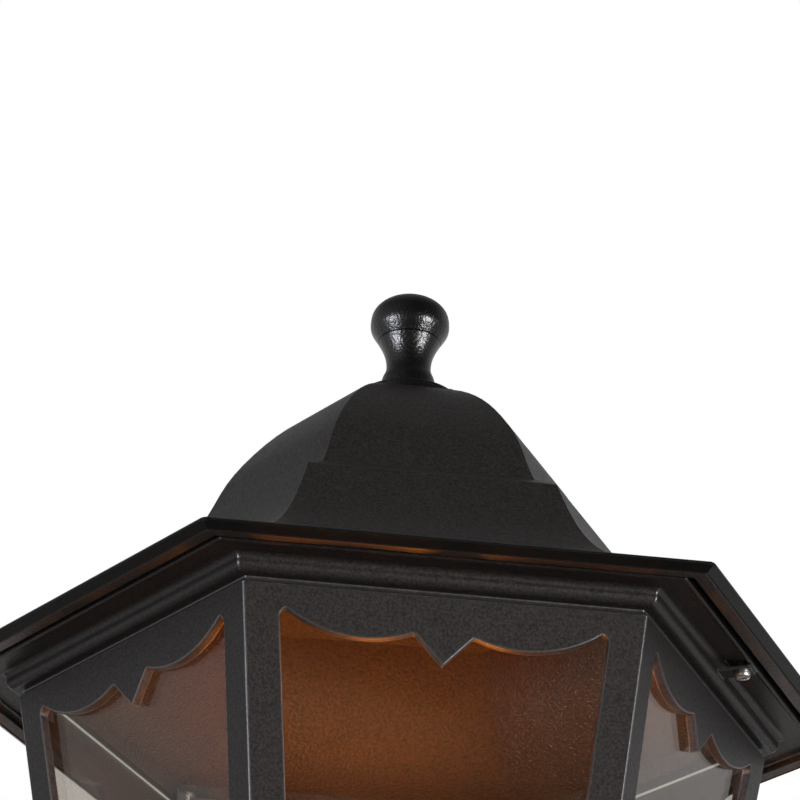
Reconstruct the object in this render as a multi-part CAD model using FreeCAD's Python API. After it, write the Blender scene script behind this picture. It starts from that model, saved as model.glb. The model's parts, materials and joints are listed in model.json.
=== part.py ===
"""Six-sided Victorian street lantern head for a 60 mm post.

Units are millimetres and +Z is up.  The origin is the centre of the lower end of the post socket.
Face 0 looks along -Y, and the faces are counted anticlockwise seen from above.
Heights named *_above_rail are measured from the top edge of the window frame, which is the datum
that the roof, the crown moulding and the panes share.
"""
import FreeCAD
import Part

import math
import os

Vec = FreeCAD.Vector

# The hexagon that everything follows
FACES = 6
HALF_FACE = math.radians(30)
TAN_HALF = math.tan(HALF_FACE)
COS_HALF = math.cos(HALF_FACE)
FIRST_FACE = -90.0
FACE_STEP = 60.0

# Overall heights
socket_length = 84.0
base_height = 31.0
cage_height = 205.0
cage_bottom_z = socket_length + base_height
rail_z = cage_bottom_z + cage_height

# Cage casting
rail_corner_radius = 120.0
rail_apothem = rail_corner_radius * COS_HALF
wall_slope = 0.172
cage_wall = 3.0
stile_width = 10.4
window_bottom_rail = 15.0
window_corner_radius = 2.5
header_corner_drop = 7.0
lobe_drop = 14.2
lobe_middle = 25.0
notch_drop = 11.3
notch_half_width = 8.8
tooth_drop = 20.2

# Crown moulding round the top of the cage
groove_depth = 1.3
groove_height = 2.0
bead_out = 3.7
bead_height = 4.6
cove_out = 6.8
cove_height = 7.0
flange_out = 15.1
flange_lip_height = 5.4
flange_top_height = 8.0
flange_lip_width = 1.6

# Foot moulding and ledge at the bottom of the cage
foot_height = 9.0
foot_out = 4.5
ledge_thickness = 4.0
ledge_inner_apothem = 46.0
rib_thickness = 2.0
rib_height = 6.0

# Window panes
pane_thickness = 2.0
pane_seat_gap = 0.2
pane_top_above_rail = 2.4
pane_side_gap = 2.3

# Pane clips in the six corners
clip_thickness = 0.8
clip_gap = 0.1
clip_drop = 4.5
clip_half_width = 8.0
clip_tab_half_width = 5.0
clip_tab_reach = 5.0
gusset_half_width = 5.0
gusset_height = 5.0
gusset_hole_floor = 0.6
corner_box_length = 60.0
corner_box_inset = 40.0
clip_screw_inset = 2.6

# Roof casting
roof_wall = 2.5
gasket_thickness = 0.8
gasket_width = 5.0
gasket_outer_apothem = 110.0
roof_mouth_apothem = 103.5
roof_mouth_drop = 1.9
skirt_gap = 2.7
skirt_width = 4.3
skirt_drop = 5.0
skirt_chamfer = 2.0
lip_reach = 3.1
lip_height = 1.7
lip_round = 0.9
lip_corner_radius = 6.0
tier_top_apothem = 67.4
tier_top_height = 58.4
tier_waist = ((72.7, 0.761), (82.1, 0.480), (100.0, 0.2255))
step_edge_round = 1.0
dome_foot_apothem = 57.8
dome_foot_rise = 5.2
dome_belly = ((55.0, 0.120), (51.0, 0.323), (44.2, 0.553), (34.9, 0.776), (28.4, 0.886))
crown_apothem = 19.7
crown_height = 112.8
crown_round = 1.5

# Finial, its collar and its stud
collar_radius = 17.0
collar_edge_height = 4.3
collar_edge_round = 1.0
collar_height = 5.5
finial_base_radius = 9.5
finial_neck = ((9.1, 3.2), (8.65, 6.3), (7.65, 8.8), (7.45, 11.5), (8.0, 14.7), (9.2, 17.8))
finial_crease = (10.35, 20.0)
crease_depth = 0.2
finial_ball = ((12.05, 22.7), (13.0, 24.7), (13.2, 26.8), (12.5, 30.6), (8.8, 34.5), (4.6, 36.2))
finial_height = 36.9
finial_stud_radius = 3.0
finial_stud_length = 16.0
clearance_hole = 0.2

# Roof screws, driven upwards through notches in the flange
roof_screw_face_numbers = (1, 4)
roof_screw_apothem = 114.6
roof_screw_radius = 1.5
roof_screw_head_radius = 2.6
roof_screw_head_height = 2.0
roof_screw_grip = 6.8
screw_notch_width = 9.0
screw_notch_inner_apothem = 110.4
screw_notch_outer_apothem = 117.0
screw_tongue_width = 6.4
screw_tongue_thickness = 1.2
screw_tongue_drop = 2.4
thread_clearance = 0.05

# Base casting with the post socket
post_radius = 30.0
post_clearance = 0.5
socket_wall = 7.0
socket_depth = 62.0
socket_web = 5.0
cable_hole_radius = 18.0
socket_bead_out = 3.0
socket_bead_height = 8.0
socket_bead_round = 1.5
base_flange_out = 4.5
base_flange_thickness = 7.0
base_bulge = 5.0
base_neck_apothem = 43.0
base_wall = 4.0
bowl_hole_radius = 28.0
fitter_screw_radius = 2.0
fitter_screw_circle = 35.5
fitter_screw_length = 12.0
fitter_screw_head_radius = 3.6
fitter_screw_head_height = 2.4
set_screw_count = 3
set_screw_radius = 3.0
set_screw_length = 10.0
set_screw_height = 30.0
set_screw_boss_radius = 7.0
set_screw_boss_out = 4.0

# Floor plate and the screws that clamp it to the ledge and the base
plate_thickness = 1.5
plate_edge_gap = 0.8
base_screw_count = 3
base_screw_radius = 2.0
base_screw_circle = 51.0
base_screw_length = 12.0
base_screw_head_radius = 4.0
base_screw_head_height = 2.6

# Lamp holder and lamp
nipple_radius = 5.0
nipple_bore_radius = 3.6
nipple_length = 18.0
nipple_below_plate = 9.0
nipple_nut_flats = 14.0
nipple_nut_height = 4.0
holder_radius = 20.5
holder_height = 50.0
holder_floor = 14.0
holder_waist_radius = 17.0
lamp_cap_radius = 13.2
lamp_cap_length = 26.0
lamp_cap_gap = 0.3
lamp_neck_radius = 14.5
lamp_globe_radius = 30.0
lamp_height = 79.0

# Wiring pieces on the floor plate
terminal_length = 34.0
terminal_width = 16.0
terminal_height = 15.0
terminal_ways = 3
terminal_wire_radius = 2.0
terminal_place = (0.0, 40.0)
terminal_screw_radius = 1.5
earth_screw_radius = 2.0
earth_washer_radius = 4.5
earth_washer_thickness = 0.8
earth_place = (-34.0, 20.0)
gland_radius = 6.0
gland_bore_radius = 3.6
gland_flange_radius = 9.0
gland_flange_height = 3.0
gland_dome_height = 9.0
gland_nut_height = 4.0
gland_place = (0.0, -36.0)

# Small nuts and washers
nut_flats_per_radius = 3.3
nut_height_per_radius = 1.6
washer_thickness = 1.2
washer_radius = 7.5
slot_width = 0.9
slot_depth = 0.8

SLANT = math.hypot(1.0, wall_slope)


def wall_apothem(height_above_rail, inward=0.0):
    """Apothem of the sloping wall plane, moved inwards by a distance square to the plane."""
    return rail_apothem + wall_slope * height_above_rail - inward * SLANT


def spin(shape, degrees):
    """A copy turned about the lantern's axis."""
    turned = shape.copy()
    turned.rotate(Vec(0, 0, 0), Vec(0, 0, 1), degrees)
    return turned


def raised(shape, height):
    """A copy lifted by a height."""
    lifted = shape.copy()
    lifted.translate(Vec(0, 0, height))
    return lifted


def moved(shape, x, y, z=0.0):
    """A copy shifted sideways and up."""
    shifted = shape.copy()
    shifted.translate(Vec(x, y, z))
    return shifted


def fused(shapes):
    """One clean solid out of pieces that share faces or overlap."""
    whole = shapes[0].multiFuse(shapes[1:]) if len(shapes) > 1 else shapes[0]
    return whole.removeSplitter()


def section(start, *steps):
    """Face in the XZ plane.

    A step is a point for a line, a pair of points for an arc through the first to the second,
    or a longer tuple of points for a smooth curve.
    """
    edges = []
    here = Vec(start[0], 0, start[1])
    for step in steps:
        points = [step] if isinstance(step[0], (int, float)) else list(step)
        stops = [Vec(x, 0, z) for x, z in points]
        if len(stops) == 1:
            edges.append(Part.LineSegment(here, stops[0]).toShape())
        elif len(stops) == 2:
            edges.append(Part.Arc(here, stops[0], stops[1]).toShape())
        else:
            curve = Part.BSplineCurve()
            curve.interpolate([here] + stops)
            edges.append(curve.toShape())
        here = stops[-1]
    first = Vec(start[0], 0, start[1])
    if (here - first).Length > 1e-6:
        edges.append(Part.LineSegment(here, first).toShape())
    return Part.Face(Part.Wire(edges))


def turned(face):
    """Solid of revolution about the lantern's axis."""
    return face.revolve(Vec(0, 0, 0), Vec(0, 0, 1), 360)


def six_sided(face):
    """The section carried round the hexagon with mitred corners."""
    box = face.BoundBox
    half = box.XMax * TAN_HALF + 1.0
    bar = face.extrude(Vec(0, 2 * half, 0))
    bar.translate(Vec(0, -half, 0))
    reach = box.XMax + 10.0
    corners = [Vec(0, 0, box.ZMin - 1)]
    corners.append(Vec(reach, -reach * TAN_HALF, box.ZMin - 1))
    corners.append(Vec(reach, reach * TAN_HALF, box.ZMin - 1))
    corners.append(corners[0])
    wedge = Part.Face(Part.makePolygon(corners)).extrude(Vec(0, 0, box.ZLength + 2))
    side = bar.common(wedge)
    return fused([spin(side, FIRST_FACE + FACE_STEP * k) for k in range(FACES)])


def hexagon(apothem, z):
    """Closed wire with a flat facing -Y."""
    radius = apothem / COS_HALF
    points = []
    for k in range(FACES + 1):
        angle = math.radians(FACE_STEP * k)
        points.append(Vec(radius * math.cos(angle), radius * math.sin(angle), z))
    return Part.makePolygon(points)


def hex_prism(apothem, z_low, z_high):
    """Upright six-sided prism."""
    return Part.Face(hexagon(apothem, z_low)).extrude(Vec(0, 0, z_high - z_low))


def wall_frustum(low, high, inward):
    """Six-sided frustum inside the sloping wall planes, between two heights above the rail."""
    half = section((0, low), (wall_apothem(low, inward), low), (wall_apothem(high, inward), high), (0, high))
    return raised(six_sided(half), rail_z)


def disc(radius, z_low, z_high, x=0.0, y=0.0):
    """Upright cylinder between two heights."""
    return Part.makeCylinder(radius, z_high - z_low, Vec(x, y, z_low))


def hex_nut(flats, height, bore_radius):
    """Hexagon nut standing on z = 0 with chamfered corners."""
    prism = hex_prism(flats / 2, 0, height)
    corner = flats / 2 / COS_HALF
    lens = turned(section((0, 0), (flats / 2, 0), (corner, (corner - flats / 2) * TAN_HALF),
                          (corner, height - (corner - flats / 2) * TAN_HALF),
                          (flats / 2, height), (0, height)))
    return prism.common(lens).cut(disc(bore_radius, -1, height + 1))


def pan_screw(shank_radius, length, head_radius, head_height):
    """Slotted pan-head screw standing head up, with the underside of its head at z = 0."""
    profile = section((0, -length), (shank_radius, -length), (shank_radius, 0), (head_radius, 0),
                      (head_radius, head_height * 0.45),
                      ((head_radius * 0.86, head_height * 0.87), (head_radius * 0.5, head_height)),
                      (0, head_height))
    slot = Part.makeBox(3 * head_radius, slot_width, slot_depth)
    slot.translate(Vec(-1.5 * head_radius, -slot_width / 2, head_height - slot_depth))
    return turned(profile).cut(slot)


def on_face(shape, face_number):
    """Carry a shape built for a face that looks along +X to a numbered face."""
    return spin(shape, FIRST_FACE + FACE_STEP * face_number)


def on_corner(shape, corner_number):
    """Carry a shape built on the +X axis to a numbered corner."""
    return spin(shape, FACE_STEP * corner_number)


def opening_half_width(height_above_rail):
    """Half width of a window opening between its two stiles."""
    return wall_apothem(height_above_rail) * TAN_HALF - stile_width


def window_cutter():
    """Prism of one window opening with its lambrequin of two lobes and a tooth."""
    low = window_bottom_rail - cage_height
    corner = -header_corner_drop
    half_low = opening_half_width(low)
    half_top = opening_half_width(corner) - window_corner_radius * 0.8
    half_side = opening_half_width(corner - window_corner_radius)
    side = corner - window_corner_radius
    x_out = rail_apothem + 20

    def at(y, h):
        return Vec(0, y, rail_z + h)

    def lobe(sign):
        return Part.Arc(at(sign * half_top, corner), at(sign * lobe_middle, -lobe_drop),
                        at(sign * notch_half_width, -notch_drop)).toShape()

    def corner_arc(sign):
        middle = at(sign * (half_top + half_side + 0.6) / 2, (corner + side + 0.6) / 2)
        return Part.Arc(at(sign * half_top, corner), middle, at(sign * half_side, side)).toShape()

    edges = [Part.makeLine(at(-half_low, low), at(half_low, low))]
    edges.append(Part.makeLine(at(half_low, low), at(half_side, side)))
    edges.append(corner_arc(1))
    edges.append(lobe(1))
    edges.append(Part.makeLine(at(notch_half_width, -notch_drop), at(0, -tooth_drop)))
    edges.append(Part.makeLine(at(0, -tooth_drop), at(-notch_half_width, -notch_drop)))
    edges.append(lobe(-1))
    edges.append(corner_arc(-1))
    edges.append(Part.makeLine(at(-half_side, side), at(-half_low, low)))
    wire = Part.Wire(Part.__sortEdges__(edges))
    prism = Part.Face(wire).extrude(Vec(x_out, 0, 0))
    feet = [e for e in prism.Edges if abs(e.BoundBox.ZMax - rail_z - low) < 1e-3
            and e.BoundBox.XLength > 1 and e.BoundBox.YLength < 1e-3]
    return prism.makeFillet(window_corner_radius, feet)


def crown_moulding():
    """Groove, bead, cove and flange that run round the top of the cage."""
    flange = rail_apothem + flange_out
    foot = rail_apothem - groove_depth
    bead = rail_apothem + bead_out
    cove = rail_apothem + cove_out
    inner = wall_apothem(0, cage_wall * 2)
    profile = section(
        (inner, 0), (rail_apothem, 0), (foot, groove_depth / 2), (foot, groove_height),
        (rail_apothem, groove_height),
        ((rail_apothem + bead_out * 0.8, (groove_height + bead_height) / 2 - 0.5),
         (bead, bead_height)),
        ((bead + 0.7, cove_height - 0.5), (cove, cove_height)),
        (flange - flange_lip_width, flange_lip_height + 0.9),
        ((flange - flange_lip_width / 2, flange_lip_height), (flange, flange_lip_height + 0.6)),
        (flange, flange_top_height), (inner, flange_top_height))
    ring = raised(six_sided(profile), rail_z)
    hollow = wall_frustum(-1, flange_top_height + 1, cage_wall)
    return ring.cut(hollow)


def screw_notch():
    """Slot through the flange above one roof screw, with rounded inner corners."""
    floor = rail_z + groove_height
    ceiling = rail_z + flange_top_height + 1
    reach = screw_notch_outer_apothem - screw_notch_inner_apothem
    slot = Part.makeBox(reach, screw_notch_width, ceiling - floor)
    slot.translate(Vec(screw_notch_inner_apothem, -screw_notch_width / 2, floor))
    uprights = [e for e in slot.Edges if e.BoundBox.ZLength > 1]
    return slot.makeFillet(reach * 0.2, uprights)


def screw_tongue():
    """Bridge under the slot, from the bead to the flange's lip, with the screw's hole."""
    top = rail_z + flange_top_height - screw_tongue_drop
    low = top - screw_tongue_thickness
    start = rail_apothem + bead_out / 2
    reach = rail_apothem + flange_out - flange_lip_width / 2 - start
    bridge = Part.makeBox(reach, screw_tongue_width, screw_tongue_thickness)
    bridge.translate(Vec(start, -screw_tongue_width / 2, low))
    hole = disc(roof_screw_radius + clearance_hole, low - 1, top + 1, roof_screw_apothem)
    return bridge.cut(hole)


def corner_gusset():
    """Solid corner inside the crown moulding that takes a clip screw."""
    low = flange_top_height - gusset_height
    outer = wall_frustum(low, flange_top_height, cage_wall - 0.5)
    inner = wall_frustum(low - 1, flange_top_height + 1,
                         cage_wall + pane_seat_gap + pane_thickness + clip_gap)
    block = Part.makeBox(corner_box_length, 2 * gusset_half_width, gusset_height)
    block.translate(Vec(rail_corner_radius - corner_box_inset, -gusset_half_width, rail_z + low))
    return outer.cut(inner).common(block)


def clip_screw_radius_out():
    """Distance of a clip screw from the lantern's axis."""
    return wall_apothem(flange_top_height, cage_wall) / COS_HALF - clip_screw_inset


def make_cage():
    """Cage casting: crown moulding, stiles, lambrequins, foot moulding, ledge and pane rib."""
    bottom = -cage_height
    shell = wall_frustum(bottom, 0, 0).cut(wall_frustum(bottom - 1, 1, cage_wall))
    foot_in = wall_apothem(bottom, cage_wall)
    foot_edge = wall_apothem(bottom) + foot_out
    foot = section((foot_in, 0), (foot_edge - 1, 0),
                   ((foot_edge, foot_height * 0.3), (foot_edge - 1, foot_height * 0.6)),
                   ((foot_edge - 2.6, foot_height * 0.7), (foot_edge - foot_out, foot_height)),
                   (foot_in, foot_height))
    foot_ring = raised(six_sided(foot), cage_bottom_z)
    foot_ring = foot_ring.cut(wall_frustum(bottom + ledge_thickness, 0, cage_wall))
    ledge = hex_prism(foot_in + 1, cage_bottom_z, cage_bottom_z + ledge_thickness)
    ledge = ledge.cut(hex_prism(ledge_inner_apothem, cage_bottom_z - 1, rail_z))
    ledge_top = ledge_thickness - cage_height
    rib_outer = wall_apothem(ledge_top, cage_wall + pane_seat_gap + pane_thickness) - 0.4
    rib_z = cage_bottom_z + ledge_thickness
    rib = hex_prism(rib_outer, rib_z, rib_z + rib_height)
    rib = rib.cut(hex_prism(rib_outer - rib_thickness, rib_z - 1, rib_z + rib_height + 1))
    gussets = [on_corner(corner_gusset(), k) for k in range(FACES)]
    body = fused([shell, foot_ring, ledge, rib, crown_moulding()] + gussets)
    window = window_cutter()
    cuts = [on_face(window, k) for k in range(FACES)]
    notch = screw_notch()
    body = body.cut(fused([on_face(notch, k) for k in roof_screw_face_numbers]))
    body = fused([body] + [on_face(screw_tongue(), k) for k in roof_screw_face_numbers])
    hole_low = rail_z + flange_top_height - gusset_height + gusset_hole_floor
    clip_hole = disc(roof_screw_radius + thread_clearance, hole_low, rail_z + 20, clip_screw_radius_out())
    cuts += [on_corner(clip_hole, k) for k in range(FACES)]
    base_hole = disc(base_screw_radius + clearance_hole, cage_bottom_z - 1, rib_z + 1, base_screw_circle)
    cuts += [spin(base_hole, FIRST_FACE + 360 / base_screw_count * k) for k in range(base_screw_count)]
    return body.cut(cuts[0].multiFuse(cuts[1:]))


def make_pane():
    """One flat pane for the face that looks along +X, narrower at the bottom than at the top."""
    low = ledge_thickness - cage_height + 0.6
    outer = cage_wall + pane_seat_gap
    inner = outer + pane_thickness
    normal = Vec(1, 0, -wall_slope).normalize()

    def corner(height, sign):
        half = wall_apothem(height, inner) * TAN_HALF - pane_side_gap
        return Vec(wall_apothem(height, outer), sign * half, rail_z + height)

    points = [corner(low, -1), corner(low, 1), corner(pane_top_above_rail, 1)]
    points += [corner(pane_top_above_rail, -1), corner(low, -1)]
    return Part.Face(Part.makePolygon(points)).extrude(normal * -pane_thickness)


def make_pane_clip():
    """Folded corner clip: two wings behind the panes and a tab on the gusset."""
    behind = cage_wall + pane_seat_gap + pane_thickness + clip_gap
    top = flange_top_height + clip_thickness
    outer = wall_frustum(-clip_drop, top, behind)
    inner = wall_frustum(-clip_drop - 1, top + 1, behind + clip_thickness)
    strip = Part.makeBox(corner_box_length, 2 * clip_half_width, clip_drop + top)
    strip.translate(Vec(rail_corner_radius - corner_box_inset, -clip_half_width, rail_z - clip_drop))
    wings = outer.cut(inner).common(strip)
    fold = wall_apothem(top, behind) / COS_HALF
    start = fold - 2 * clip_thickness
    tab = Part.makeBox(clip_tab_reach, 2 * clip_tab_half_width, clip_thickness)
    tab.translate(Vec(start, -clip_tab_half_width, rail_z + flange_top_height))
    side_walls = wall_frustum(flange_top_height, top, cage_wall - 1)
    clip = fused([wings, tab.common(side_walls)])
    hole = disc(roof_screw_radius + clearance_hole, rail_z, rail_z + 20, clip_screw_radius_out())
    return clip.cut(hole)


def roof_seat_height():
    """Height above the rail of the roof's flat underside, on top of the gasket."""
    return flange_top_height + gasket_thickness


def skirt_outer_apothem():
    """Apothem of the skirt's outer side, where the lip starts."""
    return rail_apothem + flange_out + skirt_gap + skirt_width


def tier_points():
    """Points on the flared tier from the lip upwards, at shares of the rise to its top edge."""
    rise = tier_top_height - lip_top_height()
    return tuple((apothem, lip_top_height() + share * rise) for apothem, share in tier_waist[::-1])


def dome_points():
    """Points on the dome from its foot upwards, at shares of the rise to the crown."""
    rise = crown_height - dome_foot_height()
    return tuple((apothem, dome_foot_height() + share * rise) for apothem, share in dome_belly)


def dome_foot_height():
    """Height above the rail of the dome's foot, at the back of the step."""
    return tier_top_height + dome_foot_rise


def lip_top_height():
    """Height above the rail of the rim's lip."""
    return skirt_drop - 0.2 + lip_height + lip_round


def roof_outline():
    """Outer section of the roof from the skirt to the crown, closed along the axis."""
    skirt_out = skirt_outer_apothem()
    skirt_in = skirt_out - skirt_width
    lip_low = lip_top_height() - lip_height - lip_round
    lip_out = skirt_out + lip_reach
    seat = roof_seat_height()
    return section(
        (0, seat), (skirt_in - skirt_chamfer, seat), (skirt_in, seat - skirt_chamfer),
        (skirt_in, skirt_drop), (skirt_out - 0.5, lip_low),
        (skirt_out, lip_low + 0.5), (skirt_out + 0.4, lip_low),
        (lip_out - 0.5, lip_low + lip_height - 0.3),
        ((lip_out, lip_low + lip_height + lip_round / 2), (lip_out - lip_round, lip_top_height())),
        tier_points() + ((tier_top_apothem, tier_top_height - step_edge_round),),
        ((tier_top_apothem - 0.4, tier_top_height - 0.3),
         (tier_top_apothem - step_edge_round, tier_top_height)),
        (dome_foot_apothem, dome_foot_height()),
        dome_points() + ((crown_apothem + crown_round, crown_height - 0.8 * crown_round),),
        ((crown_apothem + 0.35 * crown_round, crown_height - 0.3 * crown_round),
         (crown_apothem - 0.5 * crown_round, crown_height)),
        (0, crown_height))


def inset(points, distance):
    """Points between the first and the last, moved square to the outline towards the axis."""
    moved_in = []
    for before, here, after in zip(points, points[1:], points[2:]):
        along = Vec(after[0] - before[0], after[1] - before[1], 0).normalize() * distance
        moved_in.append((here[0] - along.y, here[1] + along.x))
    return tuple(moved_in)


def roof_hollow():
    """Inner section of the roof, one wall thickness inside the outer one."""
    seat = roof_seat_height()
    rim = (skirt_outer_apothem(), skirt_drop)
    tier_top = (tier_top_apothem, tier_top_height)
    dome_foot = (dome_foot_apothem, dome_foot_height())
    tier = inset((rim,) + tier_points() + (tier_top, dome_foot), roof_wall)
    crown_edge = (crown_apothem, crown_height)
    dome = inset((tier_top, dome_foot) + dome_points() + (crown_edge, (0, crown_height)), roof_wall)
    ceiling = crown_height - roof_wall
    return section(
        (0, seat - 1), (roof_mouth_apothem, seat - 1), (roof_mouth_apothem, tier[0][1] - roof_mouth_drop),
        tier[0], tier[1:], dome[0], dome[1:-1], (crown_apothem - roof_wall / 2, ceiling), (0, ceiling))


def rim_envelope():
    """Upright prism just outside the rim, whose rounded corners take the points off the lip."""
    prism = hex_prism(skirt_outer_apothem() + lip_reach + thread_clearance, 0, crown_height + 1)
    uprights = [e for e in prism.Edges if e.BoundBox.ZLength > 1]
    return prism.makeFillet(lip_corner_radius, uprights)


def make_roof():
    """Roof casting: bell dome, step, flared tier and the rim that drops over the flange."""
    roof = six_sided(roof_outline()).cut(six_sided(roof_hollow())).common(rim_envelope())
    seat = roof_seat_height()
    stud_hole = disc(finial_stud_radius + clearance_hole, crown_height - 10, crown_height + 5)
    screw_hole = disc(roof_screw_radius + thread_clearance, seat - 1,
                      roof_screw_tip_height() + 0.5, roof_screw_apothem)
    holes = [on_face(screw_hole, k) for k in roof_screw_face_numbers]
    return raised(roof.cut(stud_hole.multiFuse(holes)), rail_z)


def roof_screw_seat():
    """Height above the rail of the tongue's underside, where the screw's head bears."""
    return flange_top_height - screw_tongue_drop - screw_tongue_thickness


def roof_screw_tip_height():
    """Height of a roof screw's tip above the rail."""
    return roof_screw_seat() + roof_screw_grip


def make_gasket():
    """Flat foam ring between the flange and the roof."""
    low = rail_z + flange_top_height
    ring = hex_prism(gasket_outer_apothem, low, low + gasket_thickness)
    return ring.cut(hex_prism(gasket_outer_apothem - gasket_width, low - 1, low + gasket_thickness + 1))


def make_roof_screws():
    """Pan-head screws under the flange, heads down."""
    head_seat = rail_z + roof_screw_seat()
    screw = pan_screw(roof_screw_radius, roof_screw_grip, roof_screw_head_radius, roof_screw_head_height)
    screw.rotate(Vec(0, 0, 0), Vec(1, 0, 0), 180)
    screw = moved(screw, roof_screw_apothem, 0, head_seat)
    return Part.makeCompound([on_face(screw, k) for k in roof_screw_face_numbers])


def make_clip_screws():
    """Short pan-head screws that hold the pane clips down on their gussets."""
    length = gusset_height - gusset_hole_floor - clearance_hole + clip_thickness
    screw = pan_screw(roof_screw_radius, length, roof_screw_head_radius, roof_screw_head_height)
    screw = moved(screw, clip_screw_radius_out(), 0, rail_z + flange_top_height + clip_thickness)
    return Part.makeCompound([on_corner(screw, k) for k in range(FACES)])


def make_collar():
    """Domed washer under the finial."""
    low = rail_z + crown_height
    bore = finial_stud_radius + clearance_hole
    edge = collar_edge_height - collar_edge_round
    dome = section((bore, 0), (collar_radius, 0), (collar_radius, edge),
                   ((collar_radius - collar_edge_round * 0.3, edge + collar_edge_round * 0.7),
                    (collar_radius - collar_edge_round, collar_edge_height)),
                   (finial_base_radius, collar_height), (bore, collar_height))
    return raised(turned(dome), low)


def make_finial():
    """Turned knob with its stud and a fine crease round the foot of the ball."""
    low = rail_z + crown_height + collar_height
    radius, height = finial_crease
    profile = section(
        (0, -finial_stud_length), (finial_stud_radius, -finial_stud_length), (finial_stud_radius, 0),
        (finial_base_radius, 0), finial_neck + (finial_crease,),
        (radius - crease_depth, height + crease_depth), (radius + crease_depth, height + 2 * crease_depth),
        finial_ball + ((0, finial_height),))
    return raised(turned(profile), low)


def crown_underside():
    """Height of the flat ceiling inside the crown."""
    return rail_z + crown_height - roof_wall


def make_finial_washer():
    """Flat washer under the crown."""
    top = crown_underside()
    ring = disc(washer_radius, top - washer_thickness, top)
    return ring.cut(disc(finial_stud_radius + clearance_hole, top - 5, top + 5))


def make_finial_nut():
    """Nut on the finial's stud."""
    height = finial_stud_radius * nut_height_per_radius
    nut = hex_nut(finial_stud_radius * nut_flats_per_radius, height, finial_stud_radius + thread_clearance)
    return raised(nut, crown_underside() - washer_thickness - height)


def make_post_fitter():
    """Round socket casting for the post, with a web that the post bears on."""
    bore = post_radius + post_clearance
    tube_radius = bore + socket_wall
    rim = tube_radius + socket_bead_out
    bead = socket_bead_height / 2
    tube = turned(section(
        (0, 0), (rim - socket_bead_round, 0), ((rim, bead), (rim - socket_bead_round, 2 * bead)),
        (tube_radius, 2.5 * bead), (tube_radius, socket_length - 4.5 * bead),
        (rim, socket_length - 3.5 * bead), (rim, socket_length), (0, socket_length)))
    boss_end = tube_radius + set_screw_boss_out
    bosses = [on_side(disc(set_screw_boss_radius, 0, boss_end), k) for k in range(set_screw_count)]
    body = fused([tube] + bosses)
    body = body.cut(disc(bore, -1, socket_depth))
    body = body.cut(disc(cable_hole_radius, socket_depth - 1, socket_length))
    body = body.cut(disc(bore, socket_depth + socket_web, socket_length + 1))
    tapped = disc(set_screw_radius + thread_clearance, post_radius, boss_end + 1)
    holes = [on_side(tapped, k) for k in range(set_screw_count)]
    hole = disc(fitter_screw_radius + thread_clearance, socket_length - fitter_screw_length,
                socket_length + 1, fitter_screw_circle)
    holes += [spin(hole, fitter_screw_angle(k)) for k in range(base_screw_count)]
    return body.cut(holes[0].multiFuse(holes[1:]))


def make_base_bowl():
    """Six-sided bowl casting between the post socket and the cage."""
    top = cage_bottom_z
    flange_ap = wall_apothem(-cage_height) + base_flange_out
    bowl = section((0, socket_length), (base_neck_apothem, socket_length),
                   ((base_neck_apothem + base_bulge, socket_length + base_height * 0.4),
                    (flange_ap - base_flange_out, top - base_flange_thickness)),
                   (flange_ap, top - base_flange_thickness + 2), (flange_ap, top), (0, top))
    floor = socket_length + base_wall
    inner = base_neck_apothem - base_wall
    hollow = section((0, floor), (inner, floor),
                     ((inner + base_bulge * 0.7, floor + base_height * 0.35),
                      (ledge_inner_apothem, top - base_wall)),
                     (ledge_inner_apothem, top + 1), (0, top + 1))
    body = six_sided(bowl).cut(six_sided(hollow))
    holes = [disc(bowl_hole_radius, socket_length - 1, floor + 1)]
    tapped = disc(base_screw_radius + thread_clearance, top - base_screw_length, top + 1, base_screw_circle)
    holes += [spin(tapped, FIRST_FACE + 360 / base_screw_count * k) for k in range(base_screw_count)]
    hole = disc(fitter_screw_radius + clearance_hole, socket_length - 1, floor + 1, fitter_screw_circle)
    holes += [spin(hole, fitter_screw_angle(k)) for k in range(base_screw_count)]
    return body.cut(holes[0].multiFuse(holes[1:]))


def fitter_screw_angle(number):
    """Direction of a screw between the socket and the bowl, under a corner of the bowl."""
    return 360 / base_screw_count * number


def make_fitter_screws():
    """Screws through the bowl's floor into the post socket."""
    screw = pan_screw(fitter_screw_radius, fitter_screw_length, fitter_screw_head_radius,
                      fitter_screw_head_height)
    screw = moved(screw, fitter_screw_circle, 0, socket_length + base_wall)
    return Part.makeCompound([spin(screw, fitter_screw_angle(k)) for k in range(base_screw_count)])


def on_side(shape, number):
    """Lay an upright piece on its side and carry it to a set screw's place."""
    laid = shape.copy()
    laid.rotate(Vec(0, 0, 0), Vec(0, 1, 0), 90)
    return spin(raised(laid, set_screw_height), set_screw_angle(number))


def set_screw_angle(number):
    """Direction of a set screw, clear of the face centres."""
    return FIRST_FACE + FACE_STEP / 2 + 360 / set_screw_count * number


def make_post_screws():
    """Headless set screws that grip the post."""
    start = post_radius + post_clearance + 0.5
    grub = disc(set_screw_radius, start, start + set_screw_length)
    socket = hex_prism(1.5, start + set_screw_length - 3, start + set_screw_length + 1)
    grub = grub.cut(socket)
    return Part.makeCompound([on_side(grub, k) for k in range(set_screw_count)])


def plate_z():
    """Underside of the floor plate."""
    return cage_bottom_z + ledge_thickness


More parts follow.
